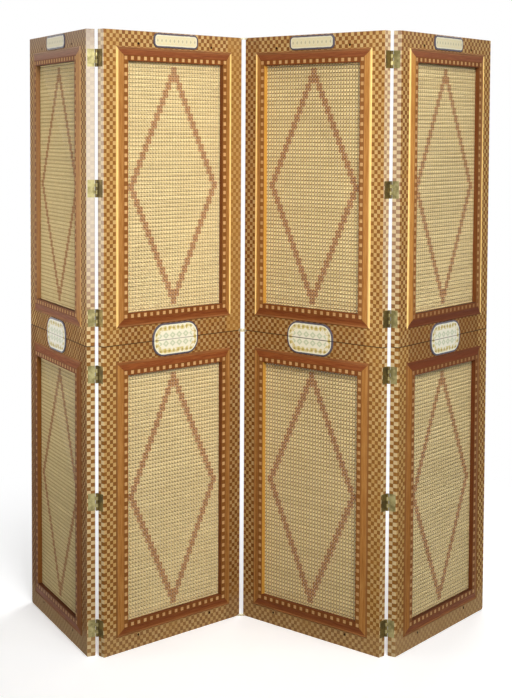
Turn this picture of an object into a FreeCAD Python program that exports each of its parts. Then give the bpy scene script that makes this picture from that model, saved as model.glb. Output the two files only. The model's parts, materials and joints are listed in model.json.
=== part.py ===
import FreeCAD, Part
import math
import os

# Caned folding screen: four leaves, each a lower and an upper panel.
# Millimetres. X runs along the screen, Y from front to back, Z up.
# Every panel is drawn in its own leaf: x from left to right seen from the
# front, y = 0 on the front face of the frame and positive to the back.

V = FreeCAD.Vector
UP = V(0, 0, 1)
BACK = V(0, 1, 0)

# leaf
LEAF_W = 540.0
LEAF_T = 26.0
TIER_H = 900.0
ARRIS = 1.0
FOOT_ROUND = 8.0

# frame members: flat face that shows, and the part under the moulding
FLAT_STILE = 45.0
FLAT_OUTER = 47.0
FLAT_SEAM = 50.0
UNDER = 15.0
STILE_W = FLAT_STILE + UNDER
TENON_L = 30.0
TENON_T = 9.0
TENON_H = 40.0
TENON_INSET = 10.0

# moulding: bead, slope, flat top, reveal
MOULD_W = 40.0
MOULD_RISE = 6.0
TOP_W = 17.0
BEAD_W = 5.0
BEAD_RISE = 2.8
BEAD_END = 1.6
COVE_AT = 0.55
COVE_RISE = 3.2
CANE_FRONT = 7.5
CANE_T = 2.2
CANE_PLAY = 1.5
BACK_BEAD_W = 22.0
BACK_BEAD_END = 20.0
BACK_BEAD_ROUND = 5.0

# plaques
PLAQUE_IN = 1.5
PLAQUE_OUT = 3.5
PLAQUE_EDGE = 1.2
PLAQUE_PLAY = 0.2
TOP_PLAQUE = (172.0, 42.0, 15.0)
MID_PLAQUE = (178.0, 97.0, 42.0)
SEAM_PLAY = 0.3

# plugs in the rails and dowels between the panels
PLUG_R = 2.5
PLUG_DEEP = 12.0
PLUG_PROUD = 0.4
PLUG_IN = 128.0
PLUG_X = (PLUG_IN, LEAF_W - PLUG_IN)
PLUG_FROM_FLOOR = 38.0
PLUG_FROM_TOP = 36.0
DOWEL_R = 5.0
DOWEL_IN = 120.0
DOWEL_X = (DOWEL_IN, LEAF_W - DOWEL_IN)
DOWEL_DOWN = 32.0
DOWEL_UP = 26.0
SOCKET_DEEP = 28.0
RUN = 0.05

# butt hinges of the two folds that come forward
HINGE_H = 50.0
HINGE_FROM_END = 81.0
HINGE_Z = (HINGE_FROM_END, TIER_H / 2, TIER_H - HINGE_FROM_END)
HINGE_GAP = 1.2
HINGE_BACK = 4.5
KNUCKLES = 5
KNUCKLE_R = 4.0
KNUCKLE_PLAY = 0.15
FLANGE_T = 1.8
FLANGE_FROM = 4.0
PIN_R = 2.0
SCREW_R = 1.75
SCREW_HEAD_R = 3.5
SCREW_L = 16.0
SLOT_W = 0.9
SLOT_DEEP = 0.7
SCREW_FROM_END = 8.5
HINGE_SCREWS = (SCREW_FROM_END - HINGE_H / 2, 0.0, HINGE_H / 2 - SCREW_FROM_END)

# pivot plates of the fold that goes back
PIVOT_GAP = 1.5
PIVOT_FRONT = 6.5
PLATE_T = 4.3
PLATE_IN = 0.3
PLATE_L = 36.0
PLATE_FROM = 4.0
PLATE_TO = 20.0
ARM_W = 8.0
ARM_FROM = -5.5
EYE_R = 5.0
EYE_CLEAR = 5.4
HALF_GAP = 0.15
PLATE_SCREW_IN = 12.0
PLATE_SCREW_PITCH = 14.0
PLATE_SCREWS = (PLATE_SCREW_IN, PLATE_SCREW_IN + PLATE_SCREW_PITCH)

# standing position: turn of each leaf about Z, seen from above
TURN = {1: -64.0, 2: 45.0, 3: -42.5, 4: 54.0}
LEAVES = sorted(TURN)
TIERS = ("lower", "upper")

BACK_PIN_Y = LEAF_T + HINGE_BACK
FRONT_PIN_Y = -PIVOT_FRONT


def box(x0, x1, y0, y1, z0, z1):
    return Part.makeBox(x1 - x0, y1 - y0, z1 - z0, V(x0, y0, z0))


def cylinder(radius, base, direction, length):
    return Part.makeCylinder(radius, length, base, direction)


def prism_xz(points, y0, y1):
    wire = Part.makePolygon([V(x, y0, z) for x, z in points] + [V(points[0][0], y0, points[0][1])])
    return Part.Face(wire).extrude(V(0, y1 - y0, 0))


def rounded_face(x0, x1, z0, z1, radii, y):
    """Upright face with the corner radii given from bottom left, turning to the right."""
    corners = [(x0, z0, 1, 1), (x1, z0, -1, 1), (x1, z1, -1, -1), (x0, z1, 1, -1)]
    edges = []
    ends = []
    for (x, z, sx, sz), r in zip(corners, radii):
        along_x = V(x + sx * r, y, z)
        along_z = V(x, y, z + sz * r)
        middle = V(x + sx * r * (1 - math.sqrt(0.5)), y, z + sz * r * (1 - math.sqrt(0.5)))
        first, last = (along_z, along_x) if sx * sz > 0 else (along_x, along_z)
        ends.append((first, last, middle, r))
    for i, (first, last, middle, r) in enumerate(ends):
        if r > 0:
            edges.append(Part.Arc(first, middle, last).toShape())
        start = ends[(i + 1) % 4][0]
        if last.distanceToPoint(start) > 1e-6:
            edges.append(Part.LineSegment(last, start).toShape())
    return Part.Face(Part.Wire(edges))


class Panel:
    """One panel of a leaf: its levels, its rails and its opening."""

    def __init__(self, leaf, tier):
        self.leaf = leaf
        self.tier = tier
        self.z0 = 0.0 if tier == "lower" else TIER_H
        self.z1 = self.z0 + TIER_H
        if tier == "lower":
            self.flat_low, self.flat_high = FLAT_OUTER, FLAT_SEAM
        else:
            self.flat_low, self.flat_high = FLAT_SEAM, FLAT_OUTER

    def ring(self, inset):
        """Rectangle at a distance inside the moulding's outer line: x0, x1, z0, z1."""
        return (FLAT_STILE + inset, LEAF_W - FLAT_STILE - inset,
                self.z0 + self.flat_low + inset, self.z1 - self.flat_high - inset)


def block(panel):
    """Outline of a panel with its arrises taken off."""
    left = FOOT_ROUND if panel.leaf == 1 and panel.tier == "lower" else 0.0
    right = FOOT_ROUND if panel.leaf == 4 and panel.tier == "lower" else 0.0
    face = rounded_face(0, LEAF_W, panel.z0, panel.z1, (left, right, 0, 0), 0)
    solid = face.extrude(V(0, LEAF_T, 0))
    if left or right:
        outline = [e for f in (0.0, LEAF_T) for e in solid.Edges
                   if all(abs(v.Point.y - f) < 1e-6 for v in e.Vertexes)]
        return solid.makeChamfer(ARRIS, outline)
    return solid.makeChamfer(ARRIS, solid.Edges)


def hinge_sides(leaf):
    """Edges of a leaf that carry butt hinges: (edge x, sign of the way out)."""
    return {1: [(LEAF_W, 1)], 2: [(0.0, -1)], 3: [(LEAF_W, 1)], 4: [(0.0, -1)]}[leaf]


def pivot_sides(leaf):
    """Edges of a leaf that carry pivot plates."""
    return {1: [], 2: [(LEAF_W, 1)], 3: [(0.0, -1)], 4: []}[leaf]


def screw(at, inward):
    """Countersunk screw, head flush at a point, driven along a direction."""
    head = Part.makeCone(SCREW_HEAD_R, SCREW_R, FLANGE_T, at, inward)
    shank = cylinder(SCREW_R, at + inward * FLANGE_T, inward, SCREW_L)
    return head.fuse(shank).removeSplitter()


def slotted(solid, at, inward):
    """Screw with its driver slot, cut across the head."""
    across = BACK if abs(inward.y) < 0.5 else UP
    third = inward.cross(across)
    cutter = Part.makeBox(2 * SCREW_HEAD_R + 1, SLOT_W, 2 * SLOT_DEEP)
    cutter.translate(V(-SCREW_HEAD_R - 0.5, -SLOT_W / 2, -SLOT_DEEP))
    matrix = FreeCAD.Matrix(third.x, across.x, inward.x, at.x,
                            third.y, across.y, inward.y, at.y,
                            third.z, across.z, inward.z, at.z, 0, 0, 0, 1)
    return solid.cut(cutter.transformGeometry(matrix))


def span(edge, out, near, far):
    """Range of x between two distances measured inward from an edge of the leaf."""
    a = edge - out * near
    b = edge - out * far
    return min(a, b), max(a, b)


def flange_place(panel, edge, out):
    """Heights of the hinges on one edge, and the screws that hold them."""
    for middle in HINGE_Z:
        z = panel.z0 + middle
        heads = [V(edge, (FLANGE_FROM + LEAF_T) / 2, z + dz) for dz in HINGE_SCREWS]
        yield z, heads, V(-out, 0, 0)


def plate_levels(panel):
    """The two edges of a panel that take pivot plates: (level, way into the wood)."""
    return (panel.z0, 1.0), (panel.z1, -1.0)


def plate_screw_heads(edge, out, level, into):
    y = (PLATE_FROM + PLATE_TO) / 2
    return [V(edge - out * d, y, level + into * PLATE_IN) for d in PLATE_SCREWS]


def plate_body(edge, out, level, into, grow=0.0):
    """Outline of a pivot plate in the edge of the wood, without its eye."""
    z = sorted((level + into * (PLATE_IN if grow == 0 else 0.0), level + into * (PLATE_IN + PLATE_T)))
    bed = box(*span(edge, out, 0, PLATE_L), PLATE_FROM, PLATE_TO, *z)
    arm = box(*span(edge, out, 0, ARM_W), ARM_FROM, PLATE_FROM + 1, *z)
    return bed.fuse(arm).removeSplitter()


def plug_spots(panel):
    z = PLUG_FROM_FLOOR if panel.tier == "lower" else panel.z1 - PLUG_FROM_TOP
    return [V(x, 0, z) for x in PLUG_X]


def plaque_outline(panel, size, middle, grow=0.0):
    """Plaque outline as x0, x1, z0, z1 and corner radii; half plaques stop at the seam."""
    width = size[0] + 2 * grow
    height = size[1] + 2 * grow
    radius = min(size[2], size[1] / 2 - PLAQUE_EDGE) + grow
    x0 = LEAF_W / 2 - width / 2
    x1 = LEAF_W / 2 + width / 2
    z0 = middle - height / 2
    z1 = middle + height / 2
    radii = [radius] * 4
    if size is MID_PLAQUE:
        play = 0.0 if grow else SEAM_PLAY
        if panel.tier == "lower":
            z1 = middle - play
            radii = [radius, radius, 0, 0]
        else:
            z0 = middle + play
            radii = [0, 0, radius, radius]
    return x0, x1, z0, z1, radii


def plaque_spots(panel):
    spots = [(MID_PLAQUE, TIER_H)]
    if panel.tier == "upper":
        spots.append((TOP_PLAQUE, panel.z1 - FLAT_OUTER / 2))
    return spots


def plaque(panel, size, middle):
    """Glazed plaque, its front edge eased."""
    x0, x1, z0, z1, radii = plaque_outline(panel, size, middle)
    solid = rounded_face(x0, x1, z0, z1, radii, PLAQUE_IN).extrude(V(0, -PLAQUE_IN - PLAQUE_OUT, 0))
    front = [e for e in solid.Edges if all(abs(v.Point.y + PLAQUE_OUT) < 1e-6 for v in e.Vertexes)]
    if size is MID_PLAQUE:
        front = [e for e in front if not all(abs(v.Point.z - TIER_H) < 1.0 for v in e.Vertexes)]
    return solid.makeFillet(PLAQUE_EDGE, front)


def plaque_bed(panel, size, middle):
    x0, x1, z0, z1, radii = plaque_outline(panel, size, middle, PLAQUE_PLAY)
    return rounded_face(x0, x1, z0, z1, radii, PLAQUE_IN).extrude(V(0, -PLAQUE_IN - 1, 0))


def frame(panel):
    """Stiles, rails with stub tenons, and the plugs in the outer rail."""
    whole = block(panel)
    low = panel.flat_low + UNDER
    high = panel.flat_high + UNDER
    stiles = [whole.common(box(0, STILE_W, 0, LEAF_T, panel.z0, panel.z1)),
              whole.common(box(LEAF_W - STILE_W, LEAF_W, 0, LEAF_T, panel.z0, panel.z1))]
    y0 = (LEAF_T - TENON_T) / 2
    y1 = y0 + TENON_T
    rails = []
    for z0, z1, t0 in ((panel.z0, panel.z0 + low, panel.z0 + TENON_INSET),
                       (panel.z1 - high, panel.z1, panel.z1 - TENON_INSET - TENON_H)):
        rail = whole.common(box(STILE_W, LEAF_W - STILE_W, 0, LEAF_T, z0, z1))
        for x0, x1 in ((STILE_W - TENON_L, STILE_W), (LEAF_W - STILE_W, LEAF_W - STILE_W + TENON_L)):
            tenon = box(x0, x1, y0, y1, t0, t0 + TENON_H)
            rail = rail.fuse(tenon)
            stiles = [s.cut(tenon) for s in stiles]
        rails.append(rail.removeSplitter())
    cuts = [plaque_bed(panel, size, middle) for size, middle in plaque_spots(panel)]
    for spot in plug_spots(panel):
        cuts.append(cylinder(PLUG_R, spot - BACK, BACK, PLUG_DEEP + 1))
    for x in DOWEL_X:
        if panel.tier == "lower":
            cuts.append(cylinder(DOWEL_R, V(x, LEAF_T / 2, TIER_H - DOWEL_DOWN), UP, DOWEL_DOWN + 1))
        else:
            cuts.append(cylinder(DOWEL_R + RUN, V(x, LEAF_T / 2, TIER_H - 1), UP, SOCKET_DEEP + 1))
    for edge, out in hinge_sides(panel.leaf):
        for z, heads, inward in flange_place(panel, edge, out):
            cuts.append(box(*span(edge, out, -1, FLANGE_T), FLANGE_FROM, LEAF_T + 1,
                            z - HINGE_H / 2, z + HINGE_H / 2))
            cuts += [screw(at, inward) for at in heads]
    for edge, out in pivot_sides(panel.leaf):
        for level, into in plate_levels(panel):
            cuts.append(plate_body(edge, out, level, into, 1.0))
            cuts += [screw(at, UP * into) for at in plate_screw_heads(edge, out, level, into)]
    tool = Part.makeCompound(cuts)
    members = [m.cut(tool) for m in stiles + rails]
    plugs = [cylinder(PLUG_R, spot - BACK * PLUG_PROUD, BACK, PLUG_DEEP + PLUG_PROUD)
             for spot in plug_spots(panel)]
    return members + plugs


def mitred(panel, section, inset, width):
    """Four mitred lengths of a section; section(t, sign) gives points from the outer line inward."""
    x0, x1, z0, z1 = panel.ring(inset)
    lengths = []
    sides = (((x0, z0), (1, 0), (0, 1), x1 - x0), ((x1, z1), (-1, 0), (0, -1), x1 - x0),
             ((x0, z1), (0, -1), (1, 0), z1 - z0), ((x1, z0), (0, 1), (-1, 0), z1 - z0))
    for (cx, cz), (ax, az), (nx, nz), length in sides:
        def at(t, y, s=0.0):
            return V(cx + nx * t + ax * s, y, cz + nz * t + az * s)
        bar = Part.Face(Part.Wire(section(at))).extrude(V(ax * length, 0, az * length))
        w = width
        corners = [(0, 0), (length, 0), (length - w, w), (w, w)]
        plan = [(cx + ax * s + nx * t, cz + az * s + nz * t) for s, t in corners]
        mitre = prism_xz(plan, -LEAF_T, 2 * LEAF_T)
        lengths.append(bar.common(mitre))
    return lengths


def moulding_section(at):
    """Bolection section: bead, slope, flat top, reveal, and the rebate over the frame."""
    rise = MOULD_W - TOP_W
    return [Part.Arc(at(0, 0), at(BEAD_W * 0.42, -BEAD_RISE), at(BEAD_W, -BEAD_END)).toShape(),
            Part.Arc(at(BEAD_W, -BEAD_END), at(BEAD_W + COVE_AT * (rise - BEAD_W), -COVE_RISE),
                     at(rise, -MOULD_RISE)).toShape(),
            Part.LineSegment(at(rise, -MOULD_RISE), at(MOULD_W, -MOULD_RISE)).toShape(),
            Part.LineSegment(at(MOULD_W, -MOULD_RISE), at(MOULD_W, CANE_FRONT)).toShape(),
            Part.LineSegment(at(MOULD_W, CANE_FRONT), at(UNDER, CANE_FRONT)).toShape(),
            Part.LineSegment(at(UNDER, CANE_FRONT), at(UNDER, 0)).toShape(),
            Part.LineSegment(at(UNDER, 0), at(0, 0)).toShape()]


def back_bead_section(at):
    """Bead behind the cane, its inner back corner rounded."""
    front = CANE_FRONT + CANE_T
    w = BACK_BEAD_W
    r = BACK_BEAD_ROUND
    k = r * (1 - math.sqrt(0.5))
    return [Part.LineSegment(at(0, front), at(w, front)).toShape(),
            Part.LineSegment(at(w, front), at(w, BACK_BEAD_END - r)).toShape(),
            Part.Arc(at(w, BACK_BEAD_END - r), at(w - k, BACK_BEAD_END - k),
                     at(w - r, BACK_BEAD_END)).toShape(),
            Part.LineSegment(at(w - r, BACK_BEAD_END), at(0, BACK_BEAD_END)).toShape(),
            Part.LineSegment(at(0, BACK_BEAD_END), at(0, front)).toShape()]


def cane(panel):
    """Cane sheet, its edges held between the moulding and the bead."""
    x0, x1, z0, z1 = panel.ring(UNDER + CANE_PLAY)
    return box(x0, x1, CANE_FRONT, CANE_FRONT + CANE_T, z0, z1)


def dowels():
    length = DOWEL_DOWN + DOWEL_UP
    return [cylinder(DOWEL_R, V(x, LEAF_T / 2, TIER_H - DOWEL_DOWN), UP, length) for x in DOWEL_X]


def hinge_halves(panel, edge, out, odd):
    """One side of the hinges on an edge; the odd side has the end knuckles and the pin."""
    solids = []
    pin_x = edge + out * HINGE_GAP
    step = HINGE_H / KNUCKLES
    for z, heads, inward in flange_place(panel, edge, out):
        bottom = z - HINGE_H / 2
        half = box(*span(edge, out, 0, FLANGE_T), FLANGE_FROM, LEAF_T, bottom, bottom + HINGE_H)
        for k in range(0 if odd else 1, KNUCKLES, 2):
            k0 = bottom + k * step + (0 if k == 0 else KNUCKLE_PLAY)
            k1 = bottom + (k + 1) * step - (0 if k == KNUCKLES - 1 else KNUCKLE_PLAY)
            tab = box(*span(edge, out, 0, FLANGE_T), LEAF_T, BACK_PIN_Y, k0, k1)
            knuckle = cylinder(KNUCKLE_R, V(pin_x, BACK_PIN_Y, k0), UP, k1 - k0)
            half = half.fuse([tab, knuckle])
        bore = PIN_R if odd else PIN_R + RUN
        half = half.cut(cylinder(bore, V(pin_x, BACK_PIN_Y, bottom - 1), UP, HINGE_H + 2))
        half = half.cut(Part.makeCompound([screw(at, inward) for at in heads]))
        solids.append(half.removeSplitter())
        if odd:
            solids.append(cylinder(PIN_R, V(pin_x, BACK_PIN_Y, bottom), UP, HINGE_H))
        solids += [slotted(screw(at, inward), at, inward) for at in heads]
    return solids


def pivot_halves(panel, edge, out, keeps_pin):
    """Pivot plates of one leaf, halved at the eye so that the two leaves' eyes lie one on the other."""
    solids = []
    pin_x = edge + out * PIVOT_GAP
    for level, into in plate_levels(panel):
        first = level + into * PLATE_IN
        middle = first + into * PLATE_T / 2
        last = first + into * PLATE_T
        plate = plate_body(edge, out, level, into)
        eye = cylinder(EYE_R, V(pin_x, FRONT_PIN_Y, min(first, last)), UP, PLATE_T)
        reach = box(*span(edge, out, -PIVOT_GAP, ARM_W), ARM_FROM, 0, min(first, last), max(first, last))
        keep = reach.common(cylinder(EYE_R, V(pin_x, FRONT_PIN_Y, min(first, last)), UP, PLATE_T))
        plate = plate.fuse([eye, keep])
        if keeps_pin:
            away = sorted((middle - into * HALF_GAP, last + into))
        else:
            away = sorted((middle + into * HALF_GAP, first - into))
        plate = plate.cut(cylinder(EYE_CLEAR, V(pin_x, FRONT_PIN_Y, away[0]), UP, away[1] - away[0]))
        bore = PIN_R if keeps_pin else PIN_R + RUN
        plate = plate.cut(cylinder(bore, V(pin_x, FRONT_PIN_Y, min(first, last) - 1), UP, PLATE_T + 2))
        heads = plate_screw_heads(edge, out, level, into)
        plate = plate.cut(Part.makeCompound([screw(at, UP * into) for at in heads]))
        solids.append(plate.removeSplitter())
        if keeps_pin:
            solids.append(cylinder(PIN_R, V(pin_x, FRONT_PIN_Y, min(first, last)), UP, PLATE_T))
        solids += [slotted(screw(at, UP * into), at, UP * into) for at in heads]
    return solids


def turned(leaf, x, y):
    a = math.radians(TURN[leaf])
    return V(x * math.cos(a) - y * math.sin(a), x * math.sin(a) + y * math.cos(a), 0)


def stand():
    """Where each leaf's corner stands, and the fold lines, before centring."""
    corner = {2: V(0, 0, 0)}
    left = corner[2] + turned(2, -HINGE_GAP, BACK_PIN_Y)
    corner[1] = left - turned(1, LEAF_W + HINGE_GAP, BACK_PIN_Y)
    middle = corner[2] + turned(2, LEAF_W + PIVOT_GAP, FRONT_PIN_Y)
    corner[3] = middle - turned(3, -PIVOT_GAP, FRONT_PIN_Y)
    right = corner[3] + turned(3, LEAF_W + HINGE_GAP, BACK_PIN_Y)
    corner[4] = right - turned(4, -HINGE_GAP, BACK_PIN_Y)
    return corner, {"left": left, "middle": middle, "right": right}


def build():
    """All nodes as lists of solids in their leaf's own coordinates."""
    nodes = {}
    for leaf in LEAVES:
        for tier in TIERS:
            panel = Panel(leaf, tier)
            name = "%s_%%s_%d" % (tier, leaf)
            nodes[name % "frame"] = (leaf, frame(panel))
            nodes[name % "moulding"] = (leaf, mitred(panel, moulding_section, 0.0, MOULD_W))
            nodes[name % "cane"] = (leaf, [cane(panel)])
            nodes[name % "bead"] = (leaf, mitred(panel, back_bead_section, UNDER, BACK_BEAD_W))
            nodes[name % "plaque"] = (leaf, [plaque(panel, MID_PLAQUE, TIER_H)])
            if tier == "upper":
                nodes["top_plaque_%d" % leaf] = (leaf, [plaque(panel, TOP_PLAQUE, panel.z1 - FLAT_OUTER / 2)])
            else:
                nodes["dowels_%d" % leaf] = (leaf, dowels())
            for edge, out in hinge_sides(leaf):
                nodes["%s_hinges_%d" % (tier, leaf)] = (leaf, hinge_halves(panel, edge, out, leaf in (2, 3)))
            for edge, out in pivot_sides(leaf):
                nodes["%s_pivots_%d" % (tier, leaf)] = (leaf, pivot_halves(panel, edge, out, leaf == 2))
    return nodes


def main():
    corner, folds = stand()
    placed = {}
    for name, (leaf, solids) in build().items():
        shape = solids[0] if len(solids) == 1 else Part.makeCompound(solids)
        shape.Placement = FreeCAD.Placement(corner[leaf], FreeCAD.Rotation(UP, TURN[leaf]))
        placed[name] = shape
    boxes = [placed[n].optimalBoundingBox() for n in placed if "_frame_" in n]
    centre = V((min(b.XMin for b in boxes) + max(b.XMax for b in boxes)) / 2,
               (min(b.YMin for b in boxes) + max(b.YMax for b in boxes)) / 2, 0)
    os.makedirs("parts", exist_ok=True)
    for name, shape in placed.items():
        shape.translate(-centre)
        shape.exportStep("parts/%s.step" % name)
    for name, line in folds.items():
        print("fold %s at %.3f %.3f" % (name, line.x - centre.x, line.y - centre.y))
    for leaf, point in corner.items():
        print("leaf %d corner at %.3f %.3f" % (leaf, point.x - centre.x, point.y - centre.y))
    print("%d nodes" % len(placed))


main()
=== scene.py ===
import json
import math

import bpy
from mathutils import Matrix, Vector

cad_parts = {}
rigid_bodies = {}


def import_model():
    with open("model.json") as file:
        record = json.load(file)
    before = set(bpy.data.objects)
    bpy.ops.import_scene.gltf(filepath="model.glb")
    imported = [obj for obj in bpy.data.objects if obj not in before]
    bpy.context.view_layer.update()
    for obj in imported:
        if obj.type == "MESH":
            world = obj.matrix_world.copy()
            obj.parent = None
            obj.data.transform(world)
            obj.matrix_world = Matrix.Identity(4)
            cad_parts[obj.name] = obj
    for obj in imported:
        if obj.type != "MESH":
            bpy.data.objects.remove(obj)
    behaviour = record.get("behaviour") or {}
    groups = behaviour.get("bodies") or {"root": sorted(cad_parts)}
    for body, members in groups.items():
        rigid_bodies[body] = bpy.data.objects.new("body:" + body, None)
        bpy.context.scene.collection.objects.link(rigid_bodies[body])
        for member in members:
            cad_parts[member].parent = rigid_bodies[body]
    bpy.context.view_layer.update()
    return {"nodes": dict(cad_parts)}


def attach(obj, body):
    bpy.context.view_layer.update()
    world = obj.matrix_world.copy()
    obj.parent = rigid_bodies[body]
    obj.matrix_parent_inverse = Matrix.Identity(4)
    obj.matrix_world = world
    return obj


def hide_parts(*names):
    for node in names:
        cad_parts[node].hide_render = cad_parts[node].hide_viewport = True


# Caned folding screen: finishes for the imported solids, woven cane in place
# of the plain cane sheets, inlaid squares on the mouldings, light and camera.

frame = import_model()

MM = 0.001

# where each leaf stands: front left foot in metres, and its turn about Z
LEAF_PLACE = {1: ((-0.721161, 0.241054), -64.0),
              2: ((-0.434086, -0.252721), 45.0),
              3: ((-0.041094, 0.129360), -42.5),
              4: ((0.403906, -0.230739), 54.0)}
TIERS = ("lower", "upper")
INNER_LEAVES = (2, 3)

# sizes of a leaf in millimetres, as in the solids
LEAF_W = 540.0
LEAF_T = 26.0
SEAM_Z = 900.0
TOP_Z = 1800.0
SQUARE = 11.25
EDGE_SQUARE = 13.0
STILE_W = 60.0
BACK_BEAD_W = 22.0
MOULD_OUT = 45.0
MOULD_Z = {"lower": (47.0, 850.0), "upper": (950.0, 1753.0)}
MOULD_W = 40.0
MOULD_RISE = 6.0
BAND_IN = 23.0
OPENING_W = 370.0
OPENING_H = 723.0
OPENING_Z = {"lower": 448.5, "upper": 1351.5}
CANE_MID = 8.6
PLUG_OFF = 142.0
PLUG_LOW = 38.0
PLUG_HIGH = 1764.0
PLUG_R = 3.8
TOP_PLAQUE = (172.0, 42.0, 15.0, 1776.5)
MID_PLAQUE = (178.0, 97.0, 42.0, 900.0)

# the weave, in cells of the opening, with one more cell hidden on every side
CANE_ACROSS = 34
CANE_UP = 64
PITCH_X = OPENING_W / CANE_ACROSS
PITCH_Z = OPENING_H / CANE_UP
LEVEL_W = 3.7
LEVEL_HALF = 1.95
UPRIGHT_W = 5.2
UPRIGHT_HALF = 2.56
SLANT_W = 4.2
STRAND_T = 0.66
WEAVE_RISE = 0.34
SLANT_RISE = 0.68
LOZENGE_IN = 13.8
LOZENGE_OUT = 15.9
WEAVE_SIZES = {"Pitch across": PITCH_X, "Pitch up": PITCH_Z, "Upright width": UPRIGHT_W,
               "Upright half": UPRIGHT_HALF, "Level width": LEVEL_W, "Level half": LEVEL_HALF,
               "Slant width": SLANT_W, "Strand thickness": STRAND_T, "Rise": WEAVE_RISE,
               "Slant rise": SLANT_RISE}
# shade of the strands, from 0 dark to 1 light, partly their own tone and partly painted shade, the
# uprights, which lie behind, and the slants darker than the levels in front: upright, level, and
# slanting one way and the other
UPRIGHT_TONE = (0.36, 0.6)
LEVEL_TONE = (0.72, 1.0)
SLANT_TONES = {1.0: (0.12, 0.34), -1.0: (0.5, 0.75)}
# which way round the weave of each leaf is
WEAVE_HAND = {1: 1.0, 2: 1.0, 3: -1.0, 4: 1.0}
# painted shade in the lines between its columns and between its rows, where the strands turn under, and
# the darkest tone of a strand
COLUMN_SHADE = {1: 0.55, 2: 0.35, 3: 0.85, 4: 0.55}
ROW_SHADE = {1: 0.0, 2: 0.0, 3: 0.55, 4: 0.0}
TONE_FLOOR = {1: 0.3, 2: 0.42, 3: 0.0, 4: 0.42}
# half the width of these lines, in cells
COLUMN_LINE = (0.07, 0.17)
ROW_LINE = (0.12, 0.2)
# blotches of age and wear on the straw: from, to, and the share at each
BLOTCH_SHIFT = (37.0, 11.0, 5.0)
AGED = (0.52, 0.75, 0.0, 0.45)
DYE_WORN = (0.3, 0.7, 1.0, 0.7)
MOTTLE_SHARE = 0.2

# inlaid squares on the flat top of each moulding
INLAY_ACROSS = 17
INLAY_UP = 33
INLAY_SIZE = 10.4
INLAY_EASE = 0.5
INLAY_DEEP = 0.6
INLAY_PROUD = 0.2


def colour(red, green, blue):
    """A colour as it shows on screen, 0 to 255, in Blender's linear numbers."""
    def linear(part):
        part = part / 255.0
        return part / 12.92 if part <= 0.04045 else ((part + 0.055) / 1.055) ** 2.4
    return (linear(red), linear(green), linear(blue), 1.0)


class Nodes:
    """Short calls for the nodes of one tree, for materials and for geometry."""

    def __init__(self, tree):
        self.tree = tree

    def feed(self, socket, value):
        if isinstance(value, bpy.types.NodeSocket):
            self.tree.links.new(value, socket)
        else:
            socket.default_value = value

    def add(self, kind, values=None, **settings):
        made = self.tree.nodes.new(kind)
        for key, value in settings.items():
            setattr(made, key, value)
        for key, value in (values or {}).items():
            self.feed(made.inputs[key], value)
        return made

    def out(self, kind, values=None, **settings):
        return self.add(kind, values, **settings).outputs[0]

    def math(self, operation, *values):
        return self.out("ShaderNodeMath", dict(enumerate(values)), operation=operation)

    def total(self, *values):
        first = values[0]
        for value in values[1:]:
            first = self.math("ADD", first, value)
        return first

    def minus(self, a, b):
        return self.math("SUBTRACT", a, b)

    def times(self, a, b):
        return self.math("MULTIPLY", a, b)

    def divided(self, a, b):
        return self.math("DIVIDE", a, b)

    def unsigned(self, value):
        return self.math("ABSOLUTE", value)

    def largest(self, a, b):
        return self.math("MAXIMUM", a, b)

    def smallest(self, a, b):
        return self.math("MINIMUM", a, b)

    def below(self, value, limit):
        return self.math("LESS_THAN", value, limit)

    def above(self, value, limit):
        return self.math("GREATER_THAN", value, limit)

    def off_middle(self, value, middle):
        return self.unsigned(self.minus(value, middle))

    def distance(self, a, b):
        return self.math("SQRT", self.total(self.times(a, a), self.times(b, b)))

    def choose(self, pick, a, b):
        """a where pick is 0, b where it is 1."""
        return self.total(a, self.times(pick, self.minus(b, a)))

    def vector(self, operation, *values):
        return self.out("ShaderNodeVectorMath", dict(enumerate(values)), operation=operation)

    def scaled(self, vector, factor):
        return self.out("ShaderNodeVectorMath", {0: vector, "Scale": factor}, operation="SCALE")

    def xyz(self, vector):
        return self.add("ShaderNodeSeparateXYZ", {0: vector}).outputs

    def join_xyz(self, x=0.0, y=0.0, z=0.0):
        return self.out("ShaderNodeCombineXYZ", {0: x, 1: y, 2: z})

    def mix(self, share, a, b, blend="MIX"):
        made = self.add("ShaderNodeMix", {0: share, 6: a, 7: b}, data_type="RGBA", blend_type=blend)
        return made.outputs[2]

    def ease(self, value, low, high, start=0.0, end=1.0):
        """Smooth step from start at low to end at high."""
        return self.out("ShaderNodeMapRange", {0: value, 1: low, 2: high, 3: start, 4: end},
                        interpolation_type="SMOOTHSTEP")

    def noise(self, vector, scale, detail=3.0, rough=0.5):
        return self.out("ShaderNodeTexNoise", {"Vector": vector, "Scale": scale, "Detail": detail,
                                               "Roughness": rough})

    def chance(self, vector):
        """A fixed random number for each whole-numbered place."""
        return self.out("ShaderNodeTexWhiteNoise", {0: vector}, noise_dimensions="3D")

    def ramp(self, value, *stops):
        """Colours at rising places, blended between them."""
        made = self.add("ShaderNodeValToRGB", {0: value})
        elements = made.color_ramp.elements
        while len(elements) < len(stops):
            elements.new(1.0)
        for element, (place, shade) in zip(elements, stops):
            element.position = place
            element.color = shade
        return made.outputs[0]

    def seen(self):
        """1 for the camera's own rays, also in a mirror and through glass."""
        rays = self.tree.nodes.new("ShaderNodeLightPath").outputs
        return self.largest(rays["Is Camera Ray"],
                            self.largest(rays["Is Glossy Ray"], rays["Is Transmission Ray"]))


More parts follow.
